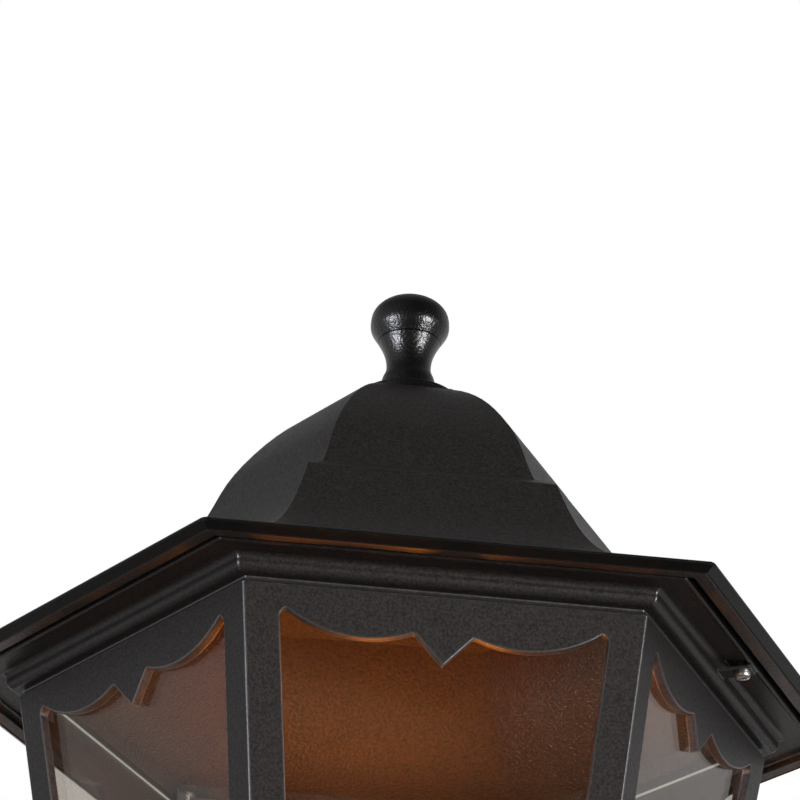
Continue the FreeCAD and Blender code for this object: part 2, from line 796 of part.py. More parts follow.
def make_floor_plate():
    """Sheet plate on the ledge that carries the lamp holder and the wiring pieces."""
    ledge_top = ledge_thickness - cage_height
    rib_inner = wall_apothem(ledge_top, cage_wall + pane_seat_gap + pane_thickness) - 0.4 - rib_thickness
    low = plate_z()
    plate = hex_prism(rib_inner - plate_edge_gap, low, low + plate_thickness)
    holes = [disc(nipple_radius + clearance_hole, low - 1, low + 3)]
    holes.append(disc(gland_radius + clearance_hole, low - 1, low + 3, *gland_place))
    holes.append(disc(earth_screw_radius + thread_clearance, low - 1, low + 3, *earth_place))
    holes.append(disc(terminal_screw_radius + thread_clearance, low - 1, low + 3, *terminal_place))
    screw = disc(base_screw_radius + clearance_hole, low - 1, low + 3, base_screw_circle)
    holes += [spin(screw, FIRST_FACE + 360 / base_screw_count * k) for k in range(base_screw_count)]
    return plate.cut(holes[0].multiFuse(holes[1:]))


def make_base_screws():
    """Screws through the plate and the ledge into the base casting."""
    seat = plate_z() + plate_thickness
    screw = pan_screw(base_screw_radius, base_screw_length, base_screw_head_radius, base_screw_head_height)
    screw = moved(screw, base_screw_circle, 0, seat)
    return Part.makeCompound([spin(screw, FIRST_FACE + 360 / base_screw_count * k)
                              for k in range(base_screw_count)])


def make_nipple():
    """Threaded tube that carries the lamp holder and passes the wires."""
    low = plate_z() - nipple_below_plate
    return disc(nipple_radius, low, low + nipple_length).cut(disc(nipple_bore_radius, low - 1, low + 30))


def make_nipple_nut():
    """Nut under the floor plate."""
    nut = hex_nut(nipple_nut_flats, nipple_nut_height, nipple_radius + thread_clearance)
    return raised(nut, plate_z() - nipple_nut_height)


def holder_z():
    """Foot of the lamp holder."""
    return plate_z() + plate_thickness


def make_lamp_holder():
    """Porcelain edison-screw holder."""
    cap_bore = lamp_cap_radius + lamp_cap_gap
    profile = section(
        (0, 0), (holder_waist_radius - 1, 0), (holder_waist_radius, 1), (holder_waist_radius, holder_floor),
        (holder_radius, holder_floor + 5), (holder_radius, holder_height - 2),
        ((holder_radius - 0.6, holder_height - 0.6), (holder_radius - 2, holder_height)),
        (cap_bore, holder_height), (cap_bore, holder_height - lamp_cap_length - lamp_cap_gap),
        (0, holder_height - lamp_cap_length - lamp_cap_gap))
    body = raised(turned(profile), holder_z())
    nipple_top = plate_z() - nipple_below_plate + nipple_length
    body = body.cut(disc(nipple_radius + thread_clearance, holder_z() - 1, nipple_top + 0.3))
    return body.cut(disc(nipple_bore_radius, holder_z(), holder_z() + holder_floor + 4))


def lamp_z():
    """Rim of the holder, where the lamp's envelope starts."""
    return holder_z() + holder_height


def make_lamp_cap():
    """Edison-screw cap with its solder pip."""
    low = -lamp_cap_length
    ridge = lamp_cap_radius
    root = lamp_cap_radius - 0.8
    steps = []
    turns = 5
    pitch = (lamp_cap_length - 8) / turns
    for k in range(turns):
        start = low + 6 + pitch * k
        steps.append(((ridge, start + pitch * 0.5), (root, start + pitch)))
    profile = section((0, low), (4.5, low), (5.5, low + 2.5), (root, low + 6), *steps,
                      (root, 0), (0, 0))
    return raised(turned(profile), lamp_z())


def make_lamp_envelope():
    """Opal globe of the lamp, blown with a short neck."""
    globe = lamp_height - lamp_globe_radius
    profile = section(
        (0, 0), (lamp_neck_radius, 0),
        ((lamp_neck_radius + 0.4, 6), (lamp_globe_radius * 0.8, globe - 18), (lamp_globe_radius, globe)),
        ((lamp_globe_radius * 0.92, globe + lamp_globe_radius * 0.39),
         (lamp_globe_radius * 0.71, globe + lamp_globe_radius * 0.7),
         (lamp_globe_radius * 0.38, globe + lamp_globe_radius * 0.925), (0, lamp_height)))
    return raised(turned(profile), lamp_z())


def make_terminal_block():
    """Pillar terminal block with a wire hole and a screw hole for each way."""
    x, y = terminal_place
    low = plate_z() + plate_thickness
    block = Part.makeBox(terminal_length, terminal_width, terminal_height)
    block = block.makeFillet(1.2, [e for e in block.Edges if e.BoundBox.ZLength > 1])
    block.translate(Vec(x - terminal_length / 2, y - terminal_width / 2, low))
    pitch = terminal_length / terminal_ways
    cuts = [disc(terminal_screw_radius + thread_clearance, low - 1, low + 30, x, y)]
    for k in range(terminal_ways):
        centre = x + pitch * (k - (terminal_ways - 1) / 2)
        wire = Part.makeCylinder(terminal_wire_radius, terminal_width * 0.4,
                                 Vec(centre, y - terminal_width / 2 - 0.1, low + 5), Vec(0, 1, 0))
        cuts.append(wire)
        screw_y = y - terminal_width / 4
        cuts.append(disc(1.6, low + 5, low + 30, centre, screw_y))
    return block.cut(cuts[0].multiFuse(cuts[1:]))


def make_terminal_screw():
    """Screw that holds the terminal block down."""
    x, y = terminal_place
    screw = pan_screw(terminal_screw_radius, terminal_height + plate_thickness + 1,
                      roof_screw_head_radius, roof_screw_head_height)
    return moved(screw, x, y, plate_z() + plate_thickness + terminal_height)


def make_earth_washer():
    """Washer under the earth screw."""
    x, y = earth_place
    low = plate_z() + plate_thickness
    ring = disc(earth_washer_radius, low, low + earth_washer_thickness, x, y)
    return ring.cut(disc(earth_screw_radius + clearance_hole, low - 1, low + 5, x, y))


def make_earth_screw():
    """Earth screw in the floor plate."""
    x, y = earth_place
    seat = plate_z() + plate_thickness + earth_washer_thickness
    screw = pan_screw(earth_screw_radius, 6, base_screw_head_radius, base_screw_head_height)
    return moved(screw, x, y, seat)


def make_cable_gland():
    """Gland in the floor plate, with its domed cap above the plate."""
    low = plate_z()
    profile = section(
        (gland_bore_radius, -8), (gland_radius, -8), (gland_radius, plate_thickness),
        (gland_flange_radius, plate_thickness), (gland_flange_radius, plate_thickness + gland_flange_height),
        (gland_flange_radius - 1.2, plate_thickness + gland_flange_height),
        ((gland_flange_radius - 2, plate_thickness + gland_dome_height - 1.5),
         (gland_bore_radius + 1.2, plate_thickness + gland_dome_height)),
        (gland_bore_radius, plate_thickness + gland_dome_height))
    return moved(turned(profile), gland_place[0], gland_place[1], low)


def make_gland_nut():
    """Nut of the gland, under the floor plate."""
    nut = hex_nut(2 * gland_flange_radius - 1, gland_nut_height, gland_radius + thread_clearance)
    return moved(nut, gland_place[0], gland_place[1], plate_z() - gland_nut_height)


PANE_NAMES = ("pane_front", "pane_right_front", "pane_right_back",
              "pane_back", "pane_left_back", "pane_left_front")


def build():
    """Every node of the lantern by name."""
    nodes = {
        "finial": make_finial(),
        "finial_collar": make_collar(),
        "finial_washer": make_finial_washer(),
        "finial_nut": make_finial_nut(),
        "roof": make_roof(),
        "roof_gasket": make_gasket(),
        "roof_screws": make_roof_screws(),
        "cage": make_cage(),
        "pane_clips": Part.makeCompound([on_corner(make_pane_clip(), k) for k in range(FACES)]),
        "clip_screws": make_clip_screws(),
        "floor_plate": make_floor_plate(),
        "base_screws": make_base_screws(),
        "base_bowl": make_base_bowl(),
        "post_fitter": make_post_fitter(),
        "fitter_screws": make_fitter_screws(),
        "post_screws": make_post_screws(),
        "holder_nipple": make_nipple(),
        "nipple_nut": make_nipple_nut(),
        "lamp_holder": make_lamp_holder(),
        "lamp_cap": make_lamp_cap(),
        "lamp_envelope": make_lamp_envelope(),
        "terminal_block": make_terminal_block(),
        "terminal_screw": make_terminal_screw(),
        "earth_washer": make_earth_washer(),
        "earth_screw": make_earth_screw(),
        "cable_gland": make_cable_gland(),
        "gland_nut": make_gland_nut(),
    }
    pane = make_pane()
    for number, name in enumerate(PANE_NAMES):
        nodes[name] = on_face(pane, number)
    return nodes


def main():
    """Write one STEP file for each node."""
    os.makedirs("parts", exist_ok=True)
    for name, shape in build().items():
        shape.exportStep("parts/" + name + ".step")
        print(name, "solids", len(shape.Solids), "valid", shape.isValid(),
              "volume_cm3", round(shape.Volume / 1000, 2))


main()
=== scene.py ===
"""Looks of the hexagonal Victorian street lantern head.

Everything is in metres, in the frame of the CAD model: the origin is the centre of the lower end of
the post socket, +Z is up along the lantern's axis and -Y is square to the front window.
"""

import json
import logging
import math
from dataclasses import dataclass
from enum import Enum
from typing import Any

import bmesh
import bpy
from mathutils import Matrix
from mathutils import Vector

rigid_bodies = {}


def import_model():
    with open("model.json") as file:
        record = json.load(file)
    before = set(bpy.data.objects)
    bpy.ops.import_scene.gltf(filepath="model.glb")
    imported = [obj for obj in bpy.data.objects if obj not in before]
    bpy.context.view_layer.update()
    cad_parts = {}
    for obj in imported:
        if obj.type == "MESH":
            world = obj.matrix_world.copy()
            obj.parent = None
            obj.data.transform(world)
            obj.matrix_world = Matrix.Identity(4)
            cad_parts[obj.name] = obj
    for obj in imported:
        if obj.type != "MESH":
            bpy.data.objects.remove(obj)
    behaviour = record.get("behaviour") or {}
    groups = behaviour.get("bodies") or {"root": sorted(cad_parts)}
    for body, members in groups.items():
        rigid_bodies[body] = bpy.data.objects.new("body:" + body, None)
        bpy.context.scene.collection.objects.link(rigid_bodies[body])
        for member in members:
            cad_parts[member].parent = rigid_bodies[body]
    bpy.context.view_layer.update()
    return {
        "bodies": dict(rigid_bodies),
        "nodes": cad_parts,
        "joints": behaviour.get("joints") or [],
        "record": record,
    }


LOG = logging.getLogger("lantern")
MM = 0.001
NON_METAL_IOR = 1.5
# Numbers of a Mix node's colour sockets, whose names it also gives to its other sockets.
MIX_FIRST = 6
MIX_SECOND = 7
MIX_RESULT = 2
# Limits and steps of the modifiers that join, round and shade the castings.
SEAM_MM = 0.001
FLAT_DEG = 0.4
LARGE_FACE_CORNERS = 100
SHARP_DEG = 28.0
ROUNDING = "rounded edges"
ROUNDING_STEPS = 2
BROAD_FACE_WEIGHT = 90


def to_linear(colour: str) -> tuple[float, float, float, float]:
    """Turn an sRGB hex colour into Blender's linear RGBA.

    Args:
        colour: Six hex digits after a hash sign.

    Returns:
        Linear red, green, blue and an alpha of one.
    """
    channels = [int(colour[i:i + 2], 16) / 255 for i in (1, 3, 5)]
    linear = [c / 12.92 if c <= 0.04045 else ((c + 0.055) / 1.055) ** 2.4 for c in channels]
    return (linear[0], linear[1], linear[2], 1.0)


def add_node(tree: bpy.types.NodeTree, kind: str, inputs: dict[Any, Any] | None = None,
             **settings: Any) -> bpy.types.Node:
    """Add one node with its settings, values and links.

    Args:
        tree: The node tree that takes the node.
        kind: The node's type name.
        inputs: Socket name or number to a value, or to the output socket that feeds it.
        **settings: Properties of the node.

    Returns:
        The new node.
    """
    node = tree.nodes.new(kind)
    for name, value in settings.items():
        setattr(node, name, value)
    for socket, value in (inputs or {}).items():
        if isinstance(value, bpy.types.NodeSocket):
            tree.links.new(value, node.inputs[socket])
        else:
            node.inputs[socket].default_value = value
    return node


def new_material(name: str) -> tuple[bpy.types.Material, bpy.types.NodeTree, bpy.types.NodeSocket]:
    """Start an empty node material.

    Args:
        name: The finish's name.

    Returns:
        The material, its tree and the surface socket of its output node.
    """
    material = bpy.data.materials.new(name)
    material.use_nodes = True
    tree = material.node_tree
    tree.nodes.clear()
    output = add_node(tree, "ShaderNodeOutputMaterial")
    return material, tree, output.inputs["Surface"]


def noise(tree: bpy.types.NodeTree, size_mm: float, detail: float = 2.0,
          roughness: float = 0.5) -> bpy.types.NodeSocket:
    """Noise in the object's own space with grains of a real size.

    Args:
        tree: The material's node tree.
        size_mm: Width of a grain in millimetres.
        detail: Octaves of finer noise.
        roughness: Weight of the finer octaves.

    Returns:
        The noise value's socket.
    """
    place = add_node(tree, "ShaderNodeTexCoord")
    grain = add_node(tree, "ShaderNodeTexNoise",
                     {"Vector": place.outputs["Object"], "Scale": 1 / (size_mm * MM),
                      "Detail": detail, "Roughness": roughness})
    return grain.outputs["Fac"]


def spread(tree: bpy.types.NodeTree, value: bpy.types.NodeSocket, low: float, high: float,
           start: float = 0.3, end: float = 0.7) -> bpy.types.NodeSocket:
    """Map a noise value onto a range.

    Args:
        tree: The material's node tree.
        value: The value to map.
        low: Result at the start of the input range.
        high: Result at its end.
        start: Start of the input range, near the least that noise gives.
        end: End of the input range, near the most that noise gives.

    Returns:
        The mapped value's socket.
    """
    node = add_node(tree, "ShaderNodeMapRange",
                    {"Value": value, "From Min": start, "From Max": end, "To Min": low, "To Max": high})
    return node.outputs["Result"]


def blend(tree: bpy.types.NodeTree, value: bpy.types.NodeSocket, first: str,
          second: str) -> bpy.types.NodeSocket:
    """Mix two written colours by a noise value.

    Args:
        tree: The material's node tree.
        value: The noise, low for the first colour and high for the second.
        first: sRGB hex colour.
        second: sRGB hex colour.

    Returns:
        The mixed colour's socket.
    """
    node = add_node(tree, "ShaderNodeMix",
                    {"Factor": spread(tree, value, 0.0, 1.0), MIX_FIRST: to_linear(first),
                     MIX_SECOND: to_linear(second)}, data_type="RGBA")
    return node.outputs[MIX_RESULT]


def relief(tree: bpy.types.NodeTree, height: bpy.types.NodeSocket, depth_mm: float,
           below: bpy.types.NodeSocket | None = None) -> bpy.types.NodeSocket:
    """Raise a surface by a value, with a real depth.

    Args:
        tree: The material's node tree.
        height: Value from zero to one.
        depth_mm: Depth of the relief in millimetres.
        below: Normal of a relief that this one lies on.

    Returns:
        The normal's socket.
    """
    inputs: dict[str, Any] = {"Height": height, "Strength": 1.0, "Distance": depth_mm * MM}
    if below is not None:
        inputs["Normal"] = below
    return add_node(tree, "ShaderNodeBump", inputs).outputs["Normal"]


@dataclass(frozen=True)
class PowderCoat:
    """Textured polyester powder coat, sprayed and baked on cast aluminium.

    It gives the eye a soft satin black with an even orange-peel grain and no clear reflection. The
    real grain is finer than a pixel, so it is drawn as coarse as it needs to show.
    """

    name: str = "textured black powder coat"
    valley: str = "#141414"
    crest: str = "#323030"
    gloss_low: float = 0.35
    gloss_high: float = 0.47
    mirror: float = 0.11
    peel_mm: float = 1.2
    peel_depth_mm: float = 0.08
    grit_mm: float = 0.8
    grit_depth_mm: float = 0.07
    casting_mm: float = 28.0
    casting_depth_mm: float = 0.12

    def build(self) -> bpy.types.Material:
        """Make the material."""
        material, tree, surface = new_material(self.name)
        peel = noise(tree, self.peel_mm)
        grit = noise(tree, self.grit_mm, detail=3.0, roughness=0.6)
        waves = noise(tree, self.casting_mm, detail=1.0)
        normal = relief(tree, waves, self.casting_depth_mm)
        normal = relief(tree, peel, self.peel_depth_mm, normal)
        normal = relief(tree, grit, self.grit_depth_mm, normal)
        shader = add_node(tree, "ShaderNodeBsdfPrincipled",
                          {"Base Color": blend(tree, grit, self.valley, self.crest),
                           "Roughness": spread(tree, peel, self.gloss_low, self.gloss_high),
                           "IOR": NON_METAL_IOR, "Specular IOR Level": self.mirror, "Normal": normal})
        tree.links.new(shader.outputs["BSDF"], surface)
        return material


@dataclass(frozen=True)
class KnobPaint:
    """Thick gloss stove paint, sprayed and baked on a turned aluminium knob.

    It gives the eye a deep black with clear highlights that the orange peel breaks into sparks.
    """

    name: str = "gloss black stove paint"
    colour: str = "#09090a"
    gloss: float = 0.27
    shinier: float = 0.8
    duller: float = 1.3
    mirror: float = 0.26
    peel_mm: float = 0.9
    peel_depth_mm: float = 0.17
    grit_mm: float = 0.3
    grit_depth_mm: float = 0.02

    def build(self) -> bpy.types.Material:
        """Make the material."""
        material, tree, surface = new_material(self.name)
        peel = noise(tree, self.peel_mm, detail=1.5)
        grit = noise(tree, self.grit_mm)
        normal = relief(tree, peel, self.peel_depth_mm)
        normal = relief(tree, grit, self.grit_depth_mm, normal)
        rough = spread(tree, grit, self.gloss * self.shinier, self.gloss * self.duller)
        shader = add_node(tree, "ShaderNodeBsdfPrincipled",
                          {"Base Color": to_linear(self.colour), "Roughness": rough,
                           "IOR": NON_METAL_IOR, "Specular IOR Level": self.mirror, "Normal": normal})
        tree.links.new(shader.outputs["BSDF"], surface)
        return material


@dataclass(frozen=True)
class WindowGlass:
    """Float glass, 2 mm thick, drawn flat and cut to shape.

    It gives the eye a faint grey tint and a weak mirror of the surroundings. Its IOR is matched to the
    photograph, where the panes mirror less than plain glass does.
    """

    name: str = "grey tinted float glass"
    tint: str = "#d3d0cb"
    bend: float = 1.22
    dust_mm: float = 6.0
    haze: float = 0.02

    def build(self) -> bpy.types.Material:
        """Make the material."""
        material, tree, surface = new_material(self.name)
        dust = noise(tree, self.dust_mm, detail=3.0)
        shader = add_node(tree, "ShaderNodeBsdfPrincipled",
                          {"Base Color": to_linear(self.tint), "Transmission Weight": 1.0,
                           "Roughness": spread(tree, dust, 0.0, self.haze), "IOR": self.bend})
        tree.links.new(shader.outputs["BSDF"], surface)
        return material


@dataclass(frozen=True)
class GlassEdge:
    """Cut and ground edge of the float glass, with a painted glow for the light that runs inside the
    pane.

    It gives the eye a thin bright line, painted as glow, with a trace of green.
    """

    name: str = "ground edge of float glass"
    colour: str = "#3e4844"
    shade: str = "#2c3431"
    # Colour and strength of the painted glow along the edge.
    glow: str = "#eef4f0"
    painted_edge_glow: float = 0.62
    bend: float = 1.52
    chip_mm: float = 1.5
    gloss_low: float = 0.35
    gloss_high: float = 0.55

    def build(self) -> bpy.types.Material:
        """Make the material."""
        material, tree, surface = new_material(self.name)
        chips = noise(tree, self.chip_mm, detail=3.0)
        # The emission is a painted glow on the edge, not a lamp.
        shader = add_node(tree, "ShaderNodeBsdfPrincipled",
                          {"Base Color": blend(tree, chips, self.colour, self.shade),
                           "Roughness": spread(tree, chips, self.gloss_low, self.gloss_high),
                           "IOR": self.bend, "Emission Color": to_linear(self.glow),
                           "Emission Strength": self.painted_edge_glow})
        tree.links.new(shader.outputs["BSDF"], surface)
        return material


@dataclass(frozen=True)
class LitOpalGlass:
    """Blown opal glass of the lamp, lit from inside.

    It gives the eye an even warm glow that is a little weaker towards the rim of the globe.
    """

    name: str = "lit opal glass"
    body: str = "#fff2e0"
    glow: str = "#ffb45e"
    strength: float = 2.6
    rim_blend: float = 0.35
    cloud_mm: float = 14.0
    gloss_low: float = 0.18
    gloss_high: float = 0.3

    def build(self) -> bpy.types.Material:
        """Make the material."""
        material, tree, surface = new_material(self.name)
        cloud = noise(tree, self.cloud_mm)
        rim = add_node(tree, "ShaderNodeLayerWeight", {"Blend": self.rim_blend})
        glow = add_node(tree, "ShaderNodeMath",
                        {0: rim.outputs["Facing"], 1: -self.strength, 2: self.strength},
                        operation="MULTIPLY_ADD")
        shader = add_node(tree, "ShaderNodeBsdfPrincipled",
                          {"Base Color": to_linear(self.body),
                           "Roughness": spread(tree, cloud, self.gloss_low, self.gloss_high),
                           "IOR": NON_METAL_IOR, "Emission Color": to_linear(self.glow),
                           "Emission Strength": glow.outputs[0]})
        tree.links.new(shader.outputs["BSDF"], surface)
        return material


@dataclass(frozen=True)
class BareMetal:
    """Bare or plated metal with fine rolling or turning marks.

    It gives the eye a soft metallic sheen with a faint streak in it.
    """

    name: str
    colour: str
    shade: str
    gloss: float
    shinier: float = 0.8
    duller: float = 1.25
    mark_mm: float = 0.6
    mark_depth_mm: float = 0.02
    stain_mm: float = 9.0

    def build(self) -> bpy.types.Material:
        """Make the material."""
        material, tree, surface = new_material(self.name)
        marks = noise(tree, self.mark_mm)
        stain = noise(tree, self.stain_mm, detail=3.0)
        rough = spread(tree, marks, self.gloss * self.shinier, self.gloss * self.duller)
        shader = add_node(tree, "ShaderNodeBsdfPrincipled",
                          {"Base Color": blend(tree, stain, self.colour, self.shade),
                           "Metallic": 1.0, "Roughness": rough,
                           "Normal": relief(tree, marks, self.mark_depth_mm)})
        tree.links.new(shader.outputs["BSDF"], surface)
        return material


@dataclass(frozen=True)
class Moulded:
    """Moulded, pressed or glazed insulating material.

    It gives the eye a plain body colour with a fine grain and the gloss of its mould or glaze.
    """

    name: str
    colour: str
    shade: str
    gloss: float
    grain_mm: float
    grain_depth_mm: float
    shinier: float = 0.85
    duller: float = 1.15

    def build(self) -> bpy.types.Material:
        """Make the material."""
        material, tree, surface = new_material(self.name)
        grain = noise(tree, self.grain_mm, detail=3.0)
        rough = spread(tree, grain, self.gloss * self.shinier, self.gloss * self.duller)
        shader = add_node(tree, "ShaderNodeBsdfPrincipled",
                          {"Base Color": blend(tree, grain, self.colour, self.shade),
                           "Roughness": rough, "IOR": NON_METAL_IOR,
                           "Normal": relief(tree, grain, self.grain_depth_mm)})
        tree.links.new(shader.outputs["BSDF"], surface)
        return material


@dataclass(frozen=True)
class MattPaper:
    """Uncoated studio paper, pressed from white fibres.

    It gives the eye a pale matt ground without any shine.
    """

    name: str = "pale matt paper"
    colour: str = "#e9e9e7"
    shade: str = "#e3e3e1"
    roughness: float = 0.8
    fibre_mm: float = 1.2

    def build(self) -> bpy.types.Material:
        """Make the material."""
        material, tree, surface = new_material(self.name)
        fibre = noise(tree, self.fibre_mm, detail=3.0)
        shader = add_node(tree, "ShaderNodeBsdfPrincipled",
                          {"Base Color": blend(tree, fibre, self.colour, self.shade),
                           "Roughness": self.roughness})
        tree.links.new(shader.outputs["BSDF"], surface)
        return material


class Finish(Enum):
    """The finishes of the lantern's pieces and of the floor under it."""

    COAT = PowderCoat()
    # Smoother, shinier and lighter in colour: a painted highlight, so that rounded edges show as thin
    # light lines.
    EDGE_HIGHLIGHT = PowderCoat("powder coat with painted highlight on the edges", "#1b1b1c", "#353436",
                        gloss_low=0.32, gloss_high=0.4, mirror=0.42, peel_depth_mm=0.05)
    # Darker, cooler and smoother: painted shade that keeps the lip of the rim almost black under the
    # lamp's warm light.
    SHADED_RIM = PowderCoat("powder coat with painted shade on the rim", "#060808", "#0c0f10",
                     gloss_low=0.34, gloss_high=0.44, mirror=0.1, peel_mm=1.3, peel_depth_mm=0.05)
    # Coarse and grainy, with a warm brown that paints the lamp's light onto the faces inside the
    # castings.
    LAMPLIT_INSIDE = PowderCoat("powder coat with painted lamplight inside the castings", "#090704", "#46351f",
                        gloss_low=0.32, gloss_high=0.44, mirror=0.45, peel_mm=1.3, peel_depth_mm=0.4,
                        grit_mm=1.0, grit_depth_mm=0.42)
    KNOB = KnobPaint()
    GLASS = WindowGlass()
    EDGE = GlassEdge()
    OPAL = LitOpalGlass()
    # Electroplated steel, cool and even.
    ZINC = BareMetal("bright zinc plate", "#c8c9c6", "#a9aaa6", gloss=0.32)
    # Rolled strip, darker and duller than the plated screws.
    SPRING = BareMetal("bare spring steel", "#8f8e8c", "#6f6c69", gloss=0.38)
    # Turned from rod, a warm yellow.
    BRASS = BareMetal("turned brass", "#c9ad6a", "#a98a48", gloss=0.3)
    # Drawn sheet, a light grey.
    CAP = BareMetal("pressed aluminium", "#c4c5c6", "#a6a7a8", gloss=0.34)
    # Foamed and die-cut, matt with fine cut cells.
    FOAM = Moulded("closed-cell foam rubber", "#161616", "#1f1f1f", gloss=0.85, grain_mm=0.8,
                   grain_depth_mm=0.12)
    # Fired with a clear glaze, white and smooth.
    PORCELAIN = Moulded("glazed porcelain", "#ebe8e0", "#dedad0", gloss=0.16, grain_mm=5.0,
                        grain_depth_mm=0.03)
    # Injection-moulded, a waxy off-white.
    PALE_POLYAMIDE = Moulded("off-white moulded polyamide", "#d9d6cc", "#cbc7bb", gloss=0.5, grain_mm=0.7,
                             grain_depth_mm=0.03)
    # Injection-moulded, a dull black.
    BLACK_POLYAMIDE = Moulded("black moulded polyamide", "#1c1c1e", "#27272a", gloss=0.45, grain_mm=0.6,
                              grain_depth_mm=0.03)
    PAPER = MattPaper()


class Paintbox:
    """Builds each finish once and hands it out."""

    def __init__(self) -> None:
        """Start with no material made."""
        self.made: dict[Finish, bpy.types.Material] = {}

    def get(self, finish: Finish) -> bpy.types.Material:
        """Give the material of a finish, making it on first use."""
        if finish not in self.made:
            self.made[finish] = finish.value.build()
        return self.made[finish]


def smoothing_group() -> bpy.types.NodeTree:
    """Geometry nodes that shade faces smooth and keep the edges between steep ones crisp.

    Returns:
        The node group for a modifier.
    """
    name = "smooth up to an angle"
    if name in bpy.data.node_groups:
        return bpy.data.node_groups[name]
    tree = bpy.data.node_groups.new(name, "GeometryNodeTree")
    for direction in ("INPUT", "OUTPUT"):
        tree.interface.new_socket("Geometry", in_out=direction, socket_type="NodeSocketGeometry")
    start = add_node(tree, "NodeGroupInput")
    faces = add_node(tree, "GeometryNodeSetShadeSmooth",
                     {"Geometry": start.outputs[0], "Shade Smooth": True}, domain="FACE")
    bend = add_node(tree, "GeometryNodeInputMeshEdgeAngle")
    soft = add_node(tree, "FunctionNodeCompare",
                    {0: bend.outputs["Unsigned Angle"], 1: math.radians(SHARP_DEG)},
                    data_type="FLOAT", operation="LESS_EQUAL")
    edges = add_node(tree, "GeometryNodeSetShadeSmooth",
                     {"Geometry": faces.outputs[0], "Shade Smooth": soft.outputs[0]}, domain="EDGE")
    add_node(tree, "NodeGroupOutput", {0: edges.outputs[0]})
    return tree


def round_edges(piece: bpy.types.Object, edge_mm: float) -> None:
    """Join the facets of a piece and round its sharp edges.

    A ring with very many corners would close over its opening when its edges are rounded, so such
    faces are split first.

    Args:
        piece: The object that takes the modifiers.
        edge_mm: Width of the rounding.
    """
    piece.modifiers.new("join facets", "WELD").merge_threshold = SEAM_MM * MM
    flat = piece.modifiers.new("merge flat facets", "DECIMATE")
    flat.decimate_type = "DISSOLVE"
    flat.angle_limit = math.radians(FLAT_DEG)
    piece.modifiers.new("split large faces", "TRIANGULATE").min_vertices = LARGE_FACE_CORNERS
    bevel = piece.modifiers.new(ROUNDING, "BEVEL")
    bevel.width = edge_mm * MM
    bevel.segments = ROUNDING_STEPS
    bevel.limit_method = "ANGLE"
    bevel.angle_limit = math.radians(SHARP_DEG)
    bevel.use_clamp_overlap = False
    bevel.miter_outer = "MITER_ARC"


def dress(frame: dict[str, Any], paintbox: Paintbox, node: str, finish: Finish,
          edge_mm: float = 0.0) -> bpy.types.Object:
    """Give a CAD node its finish and soft shading, and rounded edges where it has them.

    Args:
        paintbox: The finishes.
        node: The node's name.
        finish: Its finish.
        edge_mm: Width of its rounded edges, or zero for none.

    Returns:
        The node's object.
    """
    piece = frame["nodes"][node]
    piece.data.materials.clear()
    piece.data.materials.append(paintbox.get(finish))
    if edge_mm > 0:
        round_edges(piece, edge_mm)
    piece.modifiers.new("smooth shading", "NODES").node_group = smoothing_group()
    if edge_mm > 0:
        even = piece.modifiers.new("even normals", "WEIGHTED_NORMAL")
        even.keep_sharp = True
        even.weight = BROAD_FACE_WEIGHT
    LOG.info("%s in %s", node, finish.value.name)
    return piece


def add_slot(piece: bpy.types.Object, material: bpy.types.Material) -> int:
    """Append a material to a piece and give the number of its slot."""
    piece.data.materials.append(material)
    return len(piece.data.materials) - 1


def apothem_of(point: Vector) -> float:
    """Distance from the axis to the side of the upright hexagon that passes through a point."""
    sides = [math.radians(30 + 60 * k) for k in range(6)]
    return max(point.x * math.cos(a) + point.y * math.sin(a) for a in sides)


@dataclass
class Castings:
    """The black cast pieces: roof, cage, bowl, post fitter, collar and finial."""

    frame: dict[str, Any]
    paintbox: Paintbox
    edge_mm: float = 0.5
    inner_apothem_mm: float = 104.0
    lip_apothem_mm: float = 126.1
    inward_turn: float = -0.2
    upward_turn: float = 0.3

    def coat_roof(self) -> None:
        """Coat the roof, with lamplight painted as warm brown on the faces towards the axis and shade
        painted as a darker coat on the lip of the rim.
        """
        roof = dress(self.frame, self.paintbox, "roof", Finish.COAT)
        inside = add_slot(roof, self.paintbox.get(Finish.LAMPLIT_INSIDE))
        rim = add_slot(roof, self.paintbox.get(Finish.SHADED_RIM))
        for face in roof.data.polygons:
            middle = roof.matrix_world @ face.center
            outward = Vector((middle.x, middle.y, 0.0)).normalized()
            reach = apothem_of(middle)
            # Faces towards the axis take the warm brown coat, painted lamplight.
            if reach < self.inner_apothem_mm * MM and face.normal.dot(outward) < self.inward_turn:
                face.material_index = inside
            # Downward faces of the lip take the darker coat, painted shade against the lamp's light.
            elif reach > self.lip_apothem_mm * MM and face.normal.z < self.upward_turn:
                face.material_index = rim

    def coat_cage(self) -> None:
        """Coat the cage, with a lighter, shinier coat on its rounded edges as a painted highlight."""
        cage = dress(self.frame, self.paintbox, "cage", Finish.COAT, self.edge_mm)
        # The rounded edges take the lighter coat, a painted highlight.
        cage.modifiers[ROUNDING].material = add_slot(cage, self.paintbox.get(Finish.EDGE_HIGHLIGHT))

    def dress(self) -> None:
        """Dress each casting."""
        self.coat_roof()
        self.coat_cage()
        for name in ("base_bowl", "post_fitter"):
            dress(self.frame, self.paintbox, name, Finish.COAT, self.edge_mm)
        for name in ("finial_collar", "finial"):
            dress(self.frame, self.paintbox, name, Finish.KNOB)


